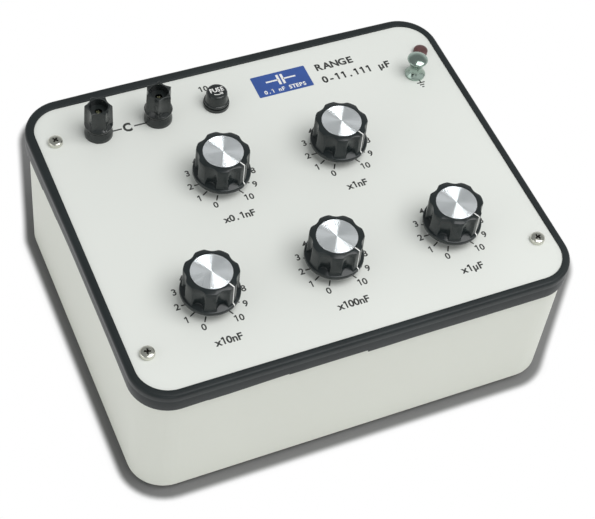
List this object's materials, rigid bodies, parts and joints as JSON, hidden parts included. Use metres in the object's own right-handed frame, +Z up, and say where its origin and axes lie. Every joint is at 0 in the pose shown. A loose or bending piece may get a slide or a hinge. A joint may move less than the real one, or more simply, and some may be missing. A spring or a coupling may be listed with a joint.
{
  "type": "capacitance decade box",
  "caption": "Bench decade box: cream case and panel with black edge trim, rotary decade knobs with metal discs, binding posts, fuse holder and earth terminal.",
  "frame": {"origin": "on the table under the middle of the box", "axes": "+X along the panel from the left knob to the right, +Y from the front edge to the terminals at the back, +Z up"},
  "size_m": [0.2606, 0.2136, 0.12],
  "materials": {
    "case_plastic": "fine satin moulded surface",
    "panel_paint": "satin enamel",
    "trim_rubber": "satin extruded edging",
    "foot_rubber": "matte",
    "nickel": "bright plated",
    "steel": "zinc plated",
    "brass": "machined",
    "seal_lacquer": "dried lacquer",
    "phenolic": "laminated sheet",
    "board_green": "coated board",
    "mica_brown": "dipped",
    "film_red": "moulded",
    "film_yellow": "moulded",
    "knob_black": "polished moulding",
    "disc_aluminium": "radially spun",
    "rotor_nylon": "moulded",
    "terminal_black": "moulded",
    "fuse_glass": "clear with plated ends",
    "copper": "tinned copper wire",
    "print_black": "screen printed ink",
    "print_white": "printed ink",
    "label_blue": "printed label"
  },
  "bodies": {
    "box": {"case_shell": "case_plastic", "threaded_inserts": "brass", "rubber_feet": "foot_rubber", "foot_screws": "steel", "front_panel": "panel_paint", "edge_trim": "trim_rubber", "panel_screws": "nickel", "screw_seal": "seal_lacquer", "switch_bushings": "brass", "bushing_nuts": "steel", "switch_housings": "steel", "index_plates": "steel", "index_springs": "steel", "switch_wafers": "phenolic", "switch_contacts": "brass", "wafer_spacers": "steel", "tie_screws": "steel", "capacitor_boards": "board_green", "mica_capacitors": "mica_brown", "film_capacitors": "film_red", "large_capacitors": "film_yellow", "post_bases": "terminal_black", "post_insulators": "terminal_black", "post_studs": "nickel", "terminal_nuts": "steel", "solder_lugs": "brass", "fuse_barrel": "terminal_black", "fuse_nut": "terminal_black", "earth_stud": "nickel", "hookup_wires": "copper"},
    "dial_0n1": {"knob_0n1": "knob_black", "disc_0n1": "disc_aluminium", "shaft_0n1": "steel", "rotor_0n1": "rotor_nylon"},
    "dial_1n": {"knob_1n": "knob_black", "disc_1n": "disc_aluminium", "shaft_1n": "steel", "rotor_1n": "rotor_nylon"},
    "dial_10n": {"knob_10n": "knob_black", "disc_10n": "disc_aluminium", "shaft_10n": "steel", "rotor_10n": "rotor_nylon"},
    "dial_100n": {"knob_100n": "knob_black", "disc_100n": "disc_aluminium", "shaft_100n": "steel", "rotor_100n": "rotor_nylon"},
    "dial_1u": {"knob_1u": "knob_black", "disc_1u": "disc_aluminium", "shaft_1u": "steel", "rotor_1u": "rotor_nylon"},
    "post_sleeve_left": {"post_insert_left": "brass"},
    "post_cap_left": {"post_cap_left": "terminal_black"},
    "post_sleeve_right": {"post_insert_right": "brass"},
    "post_cap_right": {"post_cap_right": "terminal_black"},
    "fuse_carrier": {"fuse_clip": "steel", "fuse_cartridge": "fuse_glass"},
    "fuse_cap": {"fuse_cap": "terminal_black"},
    "earth_lift": {"earth_washer": "nickel"},
    "earth_nut": {"earth_nut": "nickel"}
  },
  "joints": [
    {"name": "dial_0n1_turn", "type": "hinge", "parent": "box", "child": "dial_0n1", "pos_m": [-0.036, 0.022, 0.0965], "axis": [0, 0, 1], "range_deg": [0, 300]},
    {"name": "dial_1n_turn", "type": "hinge", "parent": "box", "child": "dial_1n", "pos_m": [0.036, 0.022, 0.0965], "axis": [0, 0, 1], "range_deg": [0, 300]},
    {"name": "dial_10n_turn", "type": "hinge", "parent": "box", "child": "dial_10n", "pos_m": [-0.072, -0.0533, 0.0965], "axis": [0, 0, 1], "range_deg": [0, 300]},
    {"name": "dial_100n_turn", "type": "hinge", "parent": "box", "child": "dial_100n", "pos_m": [0, -0.0533, 0.0965], "axis": [0, 0, 1], "range_deg": [0, 300]},
    {"name": "dial_1u_turn", "type": "hinge", "parent": "box", "child": "dial_1u", "pos_m": [0.072, -0.0533, 0.0965], "axis": [0, 0, 1], "range_deg": [0, 300]},
    {"name": "post_rise_left", "type": "slide", "parent": "box", "child": "post_sleeve_left", "axis": [0, 0, 1], "range_m": [0, 0.00301]},
    {"name": "post_turn_left", "type": "hinge", "parent": "post_sleeve_left", "child": "post_cap_left", "pos_m": [-0.09, 0.076, 0.1038], "axis": [0, 0, 1], "range_deg": [0, 1440]},
    {"name": "post_rise_right", "type": "slide", "parent": "box", "child": "post_sleeve_right", "axis": [0, 0, 1], "range_m": [0, 0.00301]},
    {"name": "post_turn_right", "type": "hinge", "parent": "post_sleeve_right", "child": "post_cap_right", "pos_m": [-0.054, 0.076, 0.1038], "axis": [0, 0, 1], "range_deg": [0, 1440]},
    {"name": "fuse_draw", "type": "slide", "parent": "box", "child": "fuse_carrier", "axis": [0, 0, 1], "range_m": [0, 0.03]},
    {"name": "fuse_bayonet", "type": "hinge", "parent": "fuse_carrier", "child": "fuse_cap", "pos_m": [-0.018, 0.076, 0.099], "axis": [0, 0, 1], "range_deg": [0, 60]},
    {"name": "earth_rise", "type": "slide", "parent": "box", "child": "earth_lift", "axis": [0, 0, 1], "range_m": [0, 0.00241]},
    {"name": "earth_turn", "type": "hinge", "parent": "earth_lift", "child": "earth_nut", "pos_m": [0.1046, 0.0612, 0.099], "axis": [0, 0, 1], "range_deg": [0, 1080]}
  ],
  "couplings": [
    {"joint": "post_rise_left", "follows": "post_turn_left", "m_per_rad": 0.00011937},
    {"joint": "post_rise_right", "follows": "post_turn_right", "m_per_rad": 0.00011937},
    {"joint": "earth_rise", "follows": "earth_turn", "m_per_rad": 0.00012732}
  ]
}
